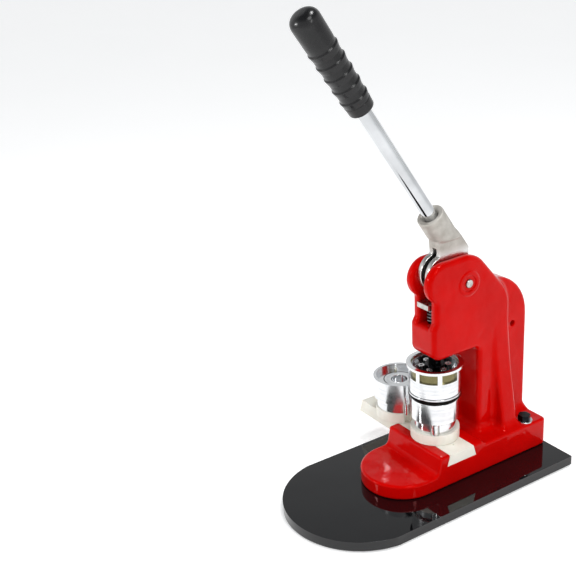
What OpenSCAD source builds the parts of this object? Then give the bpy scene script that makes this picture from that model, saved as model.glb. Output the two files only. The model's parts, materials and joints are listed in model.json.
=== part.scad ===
// Bench press for making button badges: a board, a one-piece cast frame, a lever with a
// circular cam, a sprung ram with the upper die, and a dovetail tray with two lower dies.
// +X is the operator's right, -Y the operator's side, +Z up. The origin is the middle of
// the board in plan, on the surface that the press stands on.

/* [Board] */
// Width of the board
board_w = 170; // [150:1:220]
// Length of the board, front to back
board_l = 324; // [300:1:400]
// Thickness of the board
board_t = 11; // [8:0.5:18]
// Radius of the board's round front
board_front_r = 86; // [85:1:130]
// Thickness of the rubber mat under the board
pad_h = 2; // [1:0.5:6]
// How far the mat stops short of the board's edge
mat_inset = 4; // [1:0.5:10]

/* [Frame foot] */
// Width of the cast foot
foot_w = 92; // [80:1:120]
// Distance from the die axis forward to the tip of the toe
toe_reach = 94.5; // [80:0.5:120]
// Distance from the die axis back to the rear face
foot_back = 129; // [110:1:150]
// Thickness of the toe
toe_t = 17; // [12:0.5:24]
// Thickness of the foot behind the slide
deck_t = 34; // [28:0.5:45]
// Width of each rail beside the slide
rail_w = 13; // [9:0.5:20]

/* [Column and head] */
// Place of the die axis behind the middle of the board
die_y = 30.5; // [10:0.5:50]
// Distance from the die axis back to the column's front pad
throat = 47.5; // [42:0.5:70]
// Depth of the column from its pad to its rear wall
column_d = 45; // [35:1:70]
// Width of the column's side walls at the foot
column_base_w = 76; // [60:1:90]
// Thickness of the rear web
web_t = 22; // [14:1:32]
// Reach of the rear web behind the column
web_d = 35; // [20:1:45]
// Width of the head and of the column's pad
head_w = 40; // [34:1:60]
// Width of the slot for the lever
slot_w = 18.4; // [14:0.2:26]
// Height of the head's underside above the board
head_under = 140; // [130:1:180]
// Height of the slot's floor above the head's underside
guide_l = 38; // [28:1:50]
// Height of the lever's pivot above the slot's floor
pivot_rise = 42.5; // [42:0.5:60]
// Distance of the pivot behind the die axis
pivot_back = 31.5; // [28:0.5:40]
// Radius of the pivot pin
pivot_r = 4.5; // [3:0.25:7]

/* [Tray] */
// Thickness of the dovetail slide
tray_t = 13; // [10:0.5:18]
// Width of the slide at its underside
tray_w = 41.2; // [36:0.2:60]
// How far the slide's edges lean in from bottom to top
tray_lean = 3.9; // [2:0.1:6]
// Distance between the two die seats
seat_pitch = 63.5; // [62:0.5:90]
// Radius of a round die seat
seat_r = 27.5; // [27:0.5:31]
// Height of a round die seat
seat_h = 12.2; // [11:0.2:18]
// Length of slide beyond the outer seat's centre
tray_overhang = 51.5; // [35:0.5:70]
// Height of the frame's floor under the slide
floor_t = 25.5; // [20:0.5:30]

/* [Lower dies] */
// Outer radius of the sleeve of the working die, which starts under the ram
die_b_r = 27; // [26:0.25:28.5]
// Outer radius of the sleeve of the parked die
die_a_r = 30; // [29:0.25:31]
// Height of a lower die over its seat
die_h = 38; // [32:0.5:44]
// Height of the bare base under a sleeve at rest
die_skirt_gap = 13; // [12.5:0.5:16]
// Wall of a sleeve
sleeve_wall = 3.5; // [2.5:0.25:4]
// Depth of the recess in the top of a sleeve
recess_h = 6; // [5:0.5:9]
// Radius of a die's core
core_r = 17.5; // [15:0.25:18]
// Radius of the hole in a core
core_hole_r = 9.5; // [5:0.25:12]
// Travel of a sleeve
sleeve_travel = 10; // [6:0.5:10]

/* [Upper die] */
// Gap between the upper die and the working lower die at rest
die_gap = 2.5; // [2.5:0.25:6]
// Height of the upper die
upper_h = 39; // [38:0.5:48]
// Outer radius of the upper die's body
upper_r = 28.7; // [27.5:0.1:32]
// Outer radius of its top lip
lip_r = 31.5; // [29:0.5:36]
// Outer radius of its polished flange
flange_r = 29.5; // [29:0.5:34]
// Radius of the opening in the flange
mouth_r = 24.3; // [23:0.1:25]
// Number of windows
windows = 7; // [4:1:10]
// Width of the posts between the windows
post_w = 5; // [3:0.5:10]

/* [Ram] */
// Radius of the ram
ram_r = 7; // [6:0.25:7.5]
// Travel of the ram
ram_travel = 12; // [8:0.5:12]
// Length of the shoe that the cam presses on
shoe_l = 34; // [32:0.5:38]
// Thickness of the shoe
shoe_t = 6; // [4:0.5:8]
// Wire of the return spring
spring_wire = 1.4; // [1:0.1:1.5]

/* [Lever] */
// Lean of the lever towards the operator at rest
lever_tilt = 33.6; // [20:0.1:40]
// Stroke of the lever
lever_stroke = 40; // [30:1:40]
// Distance of the rod's axis behind the pivot
rod_offset = 13.6; // [10:0.1:18]
// Radius of the rod's socket
socket_r = 15.1; // [12:0.1:18]
// Distance from the pivot to the mouth of the socket
socket_reach = 88; // [78:1:110]
// Depth of the bore in the socket
socket_depth = 34; // [22:1:36]
// Radius of the rod
rod_r = 7.5; // [5:0.25:9]
// Distance from the pivot to the end of the grip
lever_reach = 356; // [300:1:420]
// Length of the grip
grip_l = 118; // [90:1:140]
// Radius of the grip at its closed end
grip_r = 15.4; // [12:0.1:20]
// Number of rings moulded in the grip
grip_rings = 5; // [3:1:8]

/* [Fits] */
// Radial clearance of a running fit
run_fit = 0.05; // [0.02:0.01:0.1]
// Clearance between faces that stay apart
gap = 0.3; // [0.2:0.05:0.5]

/* [Hidden] */
$fn = 96;
eps = 0.01;
board_top = pad_h + board_t;
foot_front_y = die_y - toe_reach;
foot_rear_y = die_y + foot_back;
toe_r = foot_w / 2;
tray_z = board_top + floor_t;
tray_top = tray_z + tray_t;
seat_z = tray_top + gap;
seat_top = seat_z + seat_h;
rail_front_y = die_y - tray_w / 2 + tray_lean - rail_w - 2.6;
rail_rear_y = die_y + tray_w / 2 - tray_lean + rail_w;
deck_z = board_top + deck_t;
pad_y = die_y + throat;
wall_y = pad_y + column_d;
wing_y = pad_y + column_d * 0.52;
web_y = wall_y + web_d;
head_z = board_top + head_under;
slot_z = head_z + guide_l;
pivot_y = die_y + pivot_back;
pivot_z = slot_z + pivot_rise;
// the head's side outline is three circles and the straight runs between them
brow_r = 23.5;
brow = [die_y - 1, pivot_z + 8];
crown_r = 27.5;
crown = [pivot_y - 2, pivot_z + 4.5];
shoulder_r = 41.5;
shoulder = [wall_y - shoulder_r, pivot_z - 43.5];
web_top_r = 56;
nose_y = die_y - 18;
nose_r = 12;
web_hole = [wall_y + 13, pivot_z - 71.5];
web_hole_r = 3.4;
// fixings of the frame to the board
bolt_r = 4;
bolt_x = foot_w / 2 - 11;
bolt_y = foot_rear_y - 24.5;
bolt_af_r = 7.5;
bolt_head_h = 6.5;
washer_r = 9.5;
washer_t = 1.6;
nut_h = 6.5;
nut_pocket_h = 7;
pocket_r = bolt_af_r + 3;
front_screw_y = foot_front_y + 40;
front_screw_l = 14;
// the stop screw under the slide, which stands in a groove as long as the travel
stop_r = 3;
stop_y = die_y + 11;
stop_gap = 0.25;
stop_h = 3;
stop_thread = 7.5;
// the mark stands clear of the seat
seat_mark_x = seat_r + 3.5;
// lower dies
die_z = seat_top;
rim_z = die_z + die_h;
sleeve_z = die_z + die_skirt_gap;
sleeve_floor_z = rim_z - recess_h;
sleeve_floor_t = 4;
// the base's wall ends just under the sleeve's floor when the sleeve is right down
base_rim_z = sleeve_floor_z - sleeve_floor_t - sleeve_travel - gap;
pocket_wall = 2.2;
pocket_z = die_z + 6;
spigot_h = 3;
// the lug that stops a sleeve turning stands in a hole in its seat
lug_a_r = 3;
lug_b_r = 4.4;
lug_angle_a = -20;
lug_angle_b = -40;
lug_sink = 1;
function lug_place(die_r, r_lug) = die_r - r_lug - 0.2;
die_screw_r = 3;
die_screw_head_r = 5.2;
die_screw_head_h = 3.5;
die_screw_top = pocket_z + 9;
die_a_x = -seat_pitch;
// upper die and ram
flange_z = rim_z + die_gap;
flange_h = 5.5;
punch_z = flange_z + 4;
floor_z = flange_z + 16;
upper_floor_t = 7;
window_z = floor_z + upper_floor_t + 0.5;
upper_top = flange_z + upper_h;
lip_h = 3;
window_h = upper_top - lip_h - window_z - 0.4;
upper_wall = 2.3;
liner_t = 2;
holder_z = floor_z + upper_floor_t;
holder_h = 7.5;
holder_r = 19;
holder_screw_r = 3.6;
holder_screw_at = 14.8;
holder_screw_angles = [-62 : 60 : 297];
shoe_top = pivot_z - 16.5;
ram_top = shoe_top - shoe_t;
// cam: a circle whose centre turns through the stroke about the pivot
cam_arm = ram_travel / (2 * sin(lever_stroke / 2));
cam_y = pivot_y - cam_arm * cos(lever_stroke / 2);
cam_z = pivot_z + cam_arm * sin(lever_stroke / 2);
cam_r = cam_z - shoe_top - gap / 2;
knuckle = [die_y + 4.5, pivot_z + 14];
knuckle_r = 20.8;
hub_r = 14;
fork_w = slot_w - 0.8;
fork_gap = 6;
// the socket is cut off level here, which clears the head over the whole stroke
shed_z = pivot_z + 51.5;
rod_bottom = socket_reach - socket_depth;
grip_bottom = lever_reach - grip_l;
grip_bore_end = lever_reach - 12;
grip_bottom_r = grip_r - 1.8;
ring_h = 1.1;

// a body whose outline is drawn as [y, z], w wide and centred on x = 0
module side(w) rotate([90, 0, 90]) linear_extrude(w, center = true) children();

// a body whose outline is drawn as [x, z], from y0 back to y1
module front(y0, y1) translate([0, y1, 0]) rotate([90, 0, 0]) linear_extrude(y1 - y0) children();

// a straight bar of radius r along X, centred on x
module cross_bar(x, y, z, r, l) translate([x, y, z]) rotate([0, 90, 0]) cylinder(l, r = r, center = true);

module tube(h, ro, ri) difference() {
    cylinder(h, r = ro);
    translate([0, 0, -1]) cylinder(h + 2, r = ri);
}

module box(x0, x1, y0, y1, z0, z1) translate([x0, y0, z0]) cube([x1 - x0, y1 - y0, z1 - z0]);

// two circles and the straight run between their outer tangents
module run2(c1, r1, c2, r2) {
    d = norm(c2 - c1);
    a = atan2(c2[1] - c1[1], c2[0] - c1[0]);
    t = acos((r1 - r2) / d);
    translate(c1) circle(r1);
    translate(c2) circle(r2);
    polygon([for (p = [[c1, r1, t], [c2, r2, t], [c2, r2, -t], [c1, r1, -t]])
        p[0] + p[1] * [cos(a + p[2]), sin(a + p[2])]]);
}

// a coil of round wire turning about +Z, closed at both ends, swept as one polyhedron
module coil(h, r, wire, turns) {
    sides = 8;
    per_turn = 14;
    n = ceil(turns * per_turn);
    path = [for (i = [0 : n]) [r * cos(360 * i / per_turn), r * sin(360 * i / per_turn),
        wire / 2 + (h - wire) * i / n]];
    points = [for (i = [0 : n]) for (k = [0 : sides - 1])
        let (a = 360 * i / per_turn, b = 360 * k / sides)
        path[i] + wire / 2 * [cos(a) * cos(b), sin(a) * cos(b), sin(b)]];
    faces = concat([[for (k = [0 : sides - 1]) k]],
        [for (i = [0 : n - 1]) for (k = [0 : sides - 1]) let (m = (k + 1) % sides)
            [i * sides + k, (i + 1) * sides + k, (i + 1) * sides + m, i * sides + m]],
        [[for (k = [sides - 1 : -1 : 0]) n * sides + k]]);
    polyhedron(points, faces);
}

// ---------------------------------------------------------------- board and frame

// the board's outline, drawn in by c all round
module board_outline(c) intersection() {
    square([board_w - 2 * c, board_l - 2 * c], center = true);
    union() {
        translate([0, board_front_r - board_l / 2]) circle(board_front_r - c);
        translate([-board_w / 2, board_front_r - board_l / 2]) square([board_w, board_l]);
    }
}

module bolt_places() for (x = [-bolt_x, bolt_x]) translate([x, bolt_y, 0]) children();

module fixing_pockets() {
    bolt_places() cylinder(pad_h + nut_pocket_h, r = pocket_r);
    translate([0, front_screw_y, 0]) cylinder(pad_h + nut_pocket_h, r = pocket_r);
}

module base_board() color("#26272a") difference() {
    translate([0, 0, pad_h]) linear_extrude(board_t) board_outline(0);
    fixing_pockets();
    bolt_places() cylinder(board_top + 1, r = bolt_r + gap);
    translate([0, front_screw_y, 0]) cylinder(board_top + 1, r = bolt_r + gap);
}

module rubber_mat() color("#1b1b1b") difference() {
    linear_extrude(pad_h) board_outline(mat_inset);
    translate([0, 0, -1]) fixing_pockets();
}

module foot_outline(y0) intersection() {
    union() {
        translate([0, foot_front_y + toe_r]) circle(toe_r);
        translate([-toe_r, foot_front_y + toe_r]) square([foot_w, foot_rear_y - foot_front_y - toe_r]);
    }
    translate([-foot_w, y0]) square([2 * foot_w, board_l]);
}

module slide_outline(c) polygon([
    [die_y - tray_w / 2 - c, tray_z - c], [die_y + tray_w / 2 + c, tray_z - c],
    [die_y + tray_w / 2 - tray_lean + c, tray_top + c], [die_y - tray_w / 2 + tray_lean - c, tray_top + c]]);

module channel_outline() union() {
    slide_outline(0.12);
    translate([die_y - tray_w / 2 + tray_lean - 0.12, tray_top - 1])
        square([tray_w - 2 * tray_lean + 0.24, 10]);
}

module head_outline() difference() {
    union() {
        run2(brow, brow_r, crown, crown_r);
        run2(crown, crown_r, shoulder, shoulder_r);
        translate([brow[0], head_z]) square([wall_y - brow[0], pivot_z - head_z - 40]);
        translate([nose_y, head_z + nose_r]) square([brow[0] - nose_y + 1, slot_z - head_z - nose_r]);
        translate([nose_y + nose_r, head_z + nose_r]) circle(nose_r);
        translate([nose_y + nose_r, head_z]) square([30, nose_r + 1]);
        translate([nose_y + 4.5, slot_z - 1]) square([crown[0] - nose_y - 4.5, 40]);
        translate([brow[0], pivot_z - 42]) square([shoulder[0] - brow[0], 45]);
    }
}

module web_outline() intersection() {
    translate([web_y - web_top_r, pivot_z - 64.5]) union() {
        circle(web_top_r);
        translate([-web_top_r, -pivot_z]) square([2 * web_top_r, pivot_z]);
    }
    translate([wall_y - 24, deck_z - 5]) square([web_d + 24, pivot_z]);
}

module frame_solid() {
    translate([0, 0, board_top]) linear_extrude(toe_t) foot_outline(foot_front_y - 1);
    translate([0, 0, board_top]) linear_extrude(deck_t) foot_outline(rail_front_y);
    translate([0, 0, board_top]) linear_extrude(floor_t + tray_t)
        intersection() {
            foot_outline(rail_front_y);
            translate([-foot_w, rail_front_y]) square([2 * foot_w, rail_rear_y - rail_front_y]);
        }
    box(-head_w / 2, head_w / 2, pad_y, wall_y, deck_z - 1, head_z + 30);
    front(wing_y, wall_y) polygon([[-column_base_w / 2, deck_z - 1], [column_base_w / 2, deck_z - 1],
        [head_w / 2, head_z - 5], [-head_w / 2, head_z - 5]]);
    side(web_t) web_outline();
    side(head_w) head_outline();
}

module frame_casting() color("#cf0f0c") difference() {
    frame_solid();
    side(foot_w + 10) channel_outline();
    box(-slot_w / 2, slot_w / 2, nose_y - 30, pivot_y + hub_r + 4, slot_z, pivot_z + 80);
    translate([0, die_y, head_z - 1]) cylinder(guide_l + 2, r = ram_r + run_fit);
    cross_bar(0, pivot_y, pivot_z, pivot_r + run_fit, head_w + 10);
    cross_bar(0, web_hole[0], web_hole[1], web_hole_r, web_t + 10);
    bolt_places() translate([0, 0, board_top - 1]) cylinder(deck_t + 2, r = bolt_r + gap);
    translate([0, front_screw_y, board_top - 1])
        cylinder(front_screw_l - board_t / 2 + 3, r = bolt_r + run_fit);
    translate([0, stop_y, tray_z - stop_thread - gap]) cylinder(stop_thread + 1, r = stop_r + run_fit);
}

module hex_bolt(l) {
    translate([0, 0, -l]) cylinder(l + eps, r = bolt_r);
    cylinder(bolt_head_h, r = bolt_af_r, $fn = 6);
}

module rear_bolts() color("#17181a") bolt_places() translate([0, 0, deck_z + washer_t])
    hex_bolt(deck_t + washer_t + board_t - 1);

module rear_washers() color("#d9dadb") bolt_places() translate([0, 0, deck_z])
    tube(washer_t, washer_r, bolt_r + run_fit);

module board_nuts() color("#b9bbbd") bolt_places() translate([0, 0, pad_h + nut_pocket_h - nut_h])
    difference() {
        cylinder(nut_h, r = bolt_af_r, $fn = 6);
        translate([0, 0, -1]) cylinder(nut_h + 2, r = bolt_r + run_fit);
    }

module front_screw() color("#b9bbbd") translate([0, front_screw_y, pad_h + nut_pocket_h]) {
    translate([0, 0, -nut_h]) cylinder(nut_h, r = bolt_af_r);
    translate([0, 0, -eps]) cylinder(front_screw_l - nut_pocket_h + board_t / 2, r = bolt_r);
}

// ---------------------------------------------------------------- tray

module lug_hole(x, r, r_lug, angle) translate([x, die_y, 0]) rotate(angle)
    translate([r, 0, die_z - sleeve_travel - lug_sink - gap]) cylinder(40, r = r_lug + gap);

module tray_slide() color("#e9e6dc") difference() {
    union() {
        intersection() {
            side(1000) slide_outline(0);
            box(die_a_x - tray_overhang, foot_w / 2, -500, 500, 0, 500);
        }
        for (x = [0, die_a_x]) translate([x, die_y, tray_top - 1]) {
            cylinder(seat_h + gap + 1, r = tray_w / 2 - tray_lean - 1);
            translate([0, 0, gap + 1]) cylinder(seat_h, r = seat_r);
        }
    }
    lug_hole(0, lug_place(die_b_r, lug_b_r), lug_b_r, lug_angle_b);
    lug_hole(die_a_x, lug_place(die_a_r, lug_a_r), lug_a_r, lug_angle_a);
    for (x = [0, die_a_x]) translate([x, die_y, tray_z - 1]) {
        cylinder(100, r = die_screw_r + run_fit);
        cylinder(1 + die_screw_head_h + 1.5, r = die_screw_head_r + gap);
    }
    // a drilled mark by the working seat
    translate([seat_mark_x, die_y, tray_top - 1.2]) cylinder(5, r = 1.8);
    // the groove that the stop screw stands in
    box(-seat_pitch - stop_r - stop_gap, stop_r + stop_gap, stop_y - stop_r - stop_gap,
        stop_y + stop_r + stop_gap, tray_z - 1, tray_z + stop_h + 1);
}

module tray_stop_screw() color("#b9bbbd") translate([0, stop_y, tray_z - stop_thread])
    cylinder(stop_thread + stop_h, r = stop_r);

// ---------------------------------------------------------------- lower dies

module die_base(die_r, r_lug, angle) {
    r = die_r - sleeve_wall - run_fit - 0.05;
    difference() {
        translate([0, 0, die_z]) cylinder(base_rim_z - die_z, r = r);
        translate([0, 0, pocket_z]) cylinder(die_h, r = r - pocket_wall);
        rotate(angle) translate([lug_place(die_r, r_lug), 0, die_z - 1]) cylinder(die_h, r = r_lug + gap);
        translate([0, 0, pocket_z - spigot_h]) cylinder(die_h, r = core_r - 4 + run_fit);
        translate([0, 0, die_z - 1]) cylinder(die_h, r = die_screw_r + run_fit);
    }
}

module die_core() difference() {
    union() {
        translate([0, 0, pocket_z]) cylinder(sleeve_floor_z - pocket_z, r = core_r);
        translate([0, 0, pocket_z - spigot_h]) cylinder(spigot_h + 1, r = core_r - 4);
    }
    translate([0, 0, sleeve_floor_z - 10]) cylinder(14, r = core_hole_r);
    translate([0, 0, die_z]) cylinder(die_screw_top - die_z + 1, r = die_screw_r + run_fit);
}

module die_sleeve(die_r, r_lug, angle) {
    r = die_r - sleeve_wall;
    difference() {
        union() {
            translate([0, 0, sleeve_z]) cylinder(rim_z - sleeve_z, r = die_r);
            rotate(angle) translate([lug_place(die_r, r_lug), 0, die_z - lug_sink])
                cylinder(sleeve_z - die_z + lug_sink + 1, r = r_lug);
        }
        // under the skirt only the part of the lug outside the spring pocket is left
        translate([0, 0, sleeve_z - 30]) cylinder(30, r = r - pocket_wall);
        translate([0, 0, sleeve_z - eps]) cylinder(sleeve_floor_z - sleeve_floor_t - sleeve_z + eps, r = r);
        translate([0, 0, sleeve_floor_z]) cylinder(recess_h + 1, r = r);
        translate([0, 0, die_z]) cylinder(die_h + 1, r = core_r + run_fit * 2);
    }
}

module die_spring() translate([0, 0, pocket_z])
    coil(sleeve_floor_z - sleeve_floor_t - pocket_z, core_r + 2, 1.3, 5);

module die_screw() {
    translate([0, 0, tray_z + 1.2]) cylinder(die_screw_head_h, r = die_screw_head_r);
    translate([0, 0, tray_z + 3]) cylinder(die_screw_top - tray_z - 3, r = die_screw_r);
}

module at_a() translate([die_a_x, die_y, 0]) children();
module at_b() translate([0, die_y, 0]) children();

module die_a_base() color("#cdd0d2") at_a() die_base(die_a_r, lug_a_r, lug_angle_a);
module die_a_core() color("#e4e6e7") at_a() die_core();
module die_a_sleeve() color("#dfe1e2") at_a() die_sleeve(die_a_r, lug_a_r, lug_angle_a);
module die_a_spring() color("#9a9da0") at_a() die_spring();
module die_a_screw() color("#b9bbbd") at_a() die_screw();
module die_b_base() color("#cdd0d2") at_b() die_base(die_b_r, lug_b_r, lug_angle_b);
module die_b_core() color("#e4e6e7") at_b() die_core();
module die_b_sleeve() color("#dfe1e2") at_b() die_sleeve(die_b_r, lug_b_r, lug_angle_b);
module die_b_spring() color("#9a9da0") at_b() die_spring();
module die_b_screw() color("#b9bbbd") at_b() die_screw();

// ---------------------------------------------------------------- upper die and ram

module holder_screw_places() at_b() for (a = holder_screw_angles)
    rotate(a) translate([holder_screw_at, 0, 0]) children();

module upper_die_body() color("#d5d7d8") difference() {
    at_b() union() {
        translate([0, 0, flange_z + flange_h]) cylinder(upper_top - flange_z - flange_h, r = upper_r);
        translate([0, 0, upper_top - lip_h]) cylinder(lip_h, r = lip_r);
    }
    at_b() translate([0, 0, flange_z]) cylinder(floor_z - flange_z, r = mouth_r + run_fit);
    at_b() translate([0, 0, holder_z]) cylinder(upper_h, r = upper_r - upper_wall);
    at_b() translate([0, 0, flange_z]) cylinder(upper_h, r = ram_r - 2 + run_fit);
    holder_screw_places() translate([0, 0, floor_z - 1]) cylinder(upper_floor_t + 2, r = 2);
    // windows between the posts
    for (i = [0 : windows - 1]) at_b() rotate(-28.8 + (i + 0.5) * 360 / windows)
        translate([0, 0, window_z]) intersection() {
            tube(window_h, upper_r + 1, upper_r - upper_wall - 1);
            wedge = 360 / windows - 2 * asin(post_w / 2 / upper_r);
            linear_extrude(window_h) polygon([[0, 0], for (a = [-1, -0.5, 0, 0.5, 1])
                3 * upper_r * [cos(a * wedge / 2), sin(a * wedge / 2)]]);
        }
}

module upper_die_flange() color("#c9ccce") at_b() translate([0, 0, flange_z]) difference() {
    cylinder(flange_h, r = flange_r);
    translate([0, 0, -1]) cylinder(flange_h + 2, r = mouth_r);
    translate([0, 0, flange_h * 0.42]) tube(flange_h * 0.16, flange_r + 1, flange_r - 0.8);
}

module upper_die_liner() color("#8f8a5e") at_b() translate([0, 0, holder_z])
    tube(upper_top - lip_h - holder_z, upper_r - upper_wall - run_fit, upper_r - upper_wall - liner_t);

module upper_die_punch() color("#c9ccce") at_b() difference() {
    translate([0, 0, punch_z]) cylinder(floor_z - punch_z - run_fit, r = mouth_r - gap / 2);
    translate([0, 0, punch_z - 1]) cylinder(4, r = core_r - 3);
    translate([0, 0, punch_z]) cylinder(upper_h, r = ram_r - 2 + run_fit);
}

module die_holder() color("#1d1e20") difference() {
    at_b() translate([0, 0, holder_z]) {
        cylinder(holder_h, r = holder_r);
        cylinder(holder_h + 6.5, r = ram_r + 4);
    }
    at_b() translate([0, 0, holder_z - 1]) cylinder(holder_h + 12, r = ram_r + run_fit);
    holder_screw_places() translate([0, 0, holder_z - 1]) cylinder(holder_h + 3, r = 2 + run_fit);
}

module holder_screws() color("#d9dadb") holder_screw_places() {
    translate([0, 0, floor_z + 2]) cylinder(upper_floor_t + holder_h - 2 + eps, r = 1.95);
    translate([0, 0, holder_z + holder_h]) difference() {
        cylinder(5, r = holder_screw_r);
        translate([0, 0, 2.6]) cylinder(4, r = 1.9, $fn = 6);
    }
}

module ram_shaft() color("#2a2b2e") at_b() {
    translate([0, 0, holder_z]) cylinder(ram_top - holder_z + shoe_t / 2, r = ram_r);
    translate([0, 0, punch_z + 2]) cylinder(holder_z - punch_z - 2 + eps, r = ram_r - 2);
}

module ram_shoe() color("#d3d5d6") difference() {
    box(-slot_w / 2 + gap, slot_w / 2 - gap, die_y - shoe_l / 2, die_y + shoe_l / 2, ram_top, shoe_top);
    at_b() translate([0, 0, ram_top - 1]) cylinder(shoe_t / 2 + 1, r = ram_r + run_fit);
}

module ram_spring() color("#9a9da0") at_b() translate([0, 0, slot_z])
    coil(ram_top - slot_z, ram_r + spring_wire / 2 + 0.25, spring_wire, 5);

// ---------------------------------------------------------------- lever

// places what follows on the rod's axis, with +Z running out to the grip
module on_rod() translate([0, pivot_y, pivot_z]) rotate([lever_tilt, 0, 0])
    translate([0, rod_offset, 0]) children();

module fork_outline() {
    run2([pivot_y, pivot_z], hub_r, [cam_y, cam_z], cam_r);
    run2([cam_y, cam_z], cam_r, knuckle, knuckle_r);
    polygon([[die_y + 2, pivot_z + 34], [die_y - 1, shed_z], [die_y + 4, shed_z + 8],
        [pivot_y - 8, shed_z + 8], [pivot_y + 0.3, shed_z], [pivot_y + 9.3, pivot_z + 38],
        [pivot_y + 9.3, pivot_z + 10.4], [pivot_y, pivot_z], [cam_y, cam_z]]);
}

module lever_casting() color("#a9a69f") difference() {
    union() {
        difference() {
            on_rod() cylinder(socket_reach, r = socket_r);
            translate([-50, -200, shed_z - 400]) cube([100, 500, 400]);
        }
        side(fork_w) fork_outline();
    }
    // gap between the two fork plates
    side(fork_gap) union() {
        translate([die_y - 40, pivot_z - 40]) square([pivot_back + 40, 82]);
        translate([pivot_y - 1, pivot_z - 40]) square([hub_r + 2, 50]);
    }
    cross_bar(0, pivot_y, pivot_z, pivot_r + run_fit, slot_w + 4);
    on_rod() translate([0, 0, rod_bottom]) cylinder(socket_depth + 1, r = rod_r + run_fit);
    on_rod() translate([0, 0, socket_reach - 3]) cylinder(3.01, r1 = rod_r, r2 = rod_r + 3.2);
    on_rod() translate([0, socket_r / 2 + 4, rod_bottom + 9]) rotate([90, 0, 0])
        cylinder(socket_r + 8, r = 2.5 + run_fit, center = true);
}

module pivot_pin() color("#d6d2c8") cross_bar(0, pivot_y, pivot_z, pivot_r, head_w + 2.4);

module pivot_spacer() color("#cdd0d2") translate([-fork_gap / 2 + 0.1, pivot_y, pivot_z]) rotate([0, 90, 0])
    tube(fork_gap - 0.2, 8.5, pivot_r + run_fit);

module lever_rod() color("#e3e5e6") on_rod() translate([0, 0, rod_bottom + 0.2])
    cylinder(grip_bore_end - rod_bottom - 0.4, r = rod_r);

module rod_set_screw() color("#2a2b2e") on_rod() translate([0, rod_r + 0.05, rod_bottom + 9])
    rotate([-90, 0, 0]) difference() {
        cylinder(socket_r - rod_r - 1.2, r = 2.5);
        translate([0, 0, socket_r - rod_r - 3]) cylinder(4, r = 1.4, $fn = 6);
    }

function grip_at(t) = grip_bottom_r + (grip_r - grip_bottom_r) * t;

module lever_grip() color("#17181a") on_rod() difference() {
    translate([0, 0, grip_bottom]) rotate_extrude() union() {
        // body: a slow taper with a rounded foot and a domed end
        polygon(concat([[0, 0]],
            [for (a = [-90 : 15 : 0]) [grip_at(0) - 4 + 4 * cos(a), 4 + 4 * sin(a)]],
            [for (a = [0 : 15 : 90]) [grip_at(1) - 9 + 9 * cos(a), grip_l - 9 + 9 * sin(a)]],
            [[0, grip_l]]));
        // moulded rings
        for (i = [0 : grip_rings - 1]) let (t = 0.13 + 0.125 * i)
            translate([grip_at(t) - 1, t * grip_l])
                polygon([[0, -4], [1, -4], [1 + ring_h, 3], [1, 4.2], [0, 4.2]]);
    }
    translate([0, 0, grip_bottom - 1]) cylinder(grip_bore_end - grip_bottom + 1, r = rod_r + run_fit);
}

base_board();
rubber_mat();
frame_casting();
rear_bolts();
rear_washers();
board_nuts();
front_screw();
tray_slide();
tray_stop_screw();
die_a_base();
die_a_core();
die_a_sleeve();
die_a_spring();
die_a_screw();
die_b_base();
die_b_core();
die_b_sleeve();
die_b_spring();
die_b_screw();
upper_die_body();
upper_die_flange();
upper_die_liner();
upper_die_punch();
die_holder();
holder_screws();
ram_shaft();
ram_shoe();
ram_spring();
lever_casting();
pivot_pin();
pivot_spacer();
lever_rod();
rod_set_screw();
lever_grip();
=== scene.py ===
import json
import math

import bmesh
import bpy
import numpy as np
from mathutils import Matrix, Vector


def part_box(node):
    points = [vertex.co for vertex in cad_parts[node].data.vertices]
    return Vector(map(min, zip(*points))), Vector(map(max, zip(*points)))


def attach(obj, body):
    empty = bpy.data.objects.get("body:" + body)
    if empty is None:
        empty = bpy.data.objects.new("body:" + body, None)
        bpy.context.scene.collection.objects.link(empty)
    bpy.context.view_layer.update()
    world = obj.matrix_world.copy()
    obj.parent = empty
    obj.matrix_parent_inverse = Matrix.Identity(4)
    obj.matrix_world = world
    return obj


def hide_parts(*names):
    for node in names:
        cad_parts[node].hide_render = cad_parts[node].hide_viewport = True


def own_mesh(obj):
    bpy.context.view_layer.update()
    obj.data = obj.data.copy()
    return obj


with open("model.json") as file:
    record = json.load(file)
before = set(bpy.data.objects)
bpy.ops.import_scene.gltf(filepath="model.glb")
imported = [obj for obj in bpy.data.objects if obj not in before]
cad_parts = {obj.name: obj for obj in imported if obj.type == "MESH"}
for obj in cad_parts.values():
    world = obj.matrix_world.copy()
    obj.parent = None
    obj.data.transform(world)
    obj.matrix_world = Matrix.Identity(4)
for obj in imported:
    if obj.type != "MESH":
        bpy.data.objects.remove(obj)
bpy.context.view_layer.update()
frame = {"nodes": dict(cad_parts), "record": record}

# %% [markdown]
# # A hand press for button badges
# The CAD part brings every piece in its real size: a board, a cast frame, a tray with two
# lower dies, a ram with the upper die, and a lever. What CAD leaves out is what the eye
# looks for: cast edges that flow into each other, broken edges on turned metal, and
# finishes. This lesson adds them, one piece at a time, and leaves the sizes alone.

import openvdb
from mathutils import Matrix, Vector

MM = 0.001

# %% [markdown]
# ## Colours and shader nodes
# A colour given as a hex code is an sRGB value, but a shader works in linear light, so one
# function turns the hex code over. Shaders are built from code with one small function: it
# adds a node, sets its values, plugs in its links and hands back the output that comes next.
# Patterns are sized in millimetres, and a second small function turns that into their scale.

# %% Helpers for every finish
def linear(code):
    """An sRGB hex code such as "#c8100c" as linear red, green, blue and alpha."""
    parts = [int(code[k:k + 2], 16) / 255 for k in (1, 3, 5)]
    parts = [p / 12.92 if p <= 0.04045 else ((p + 0.055) / 1.055) ** 2.4 for p in parts]
    return (*parts, 1)


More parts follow.
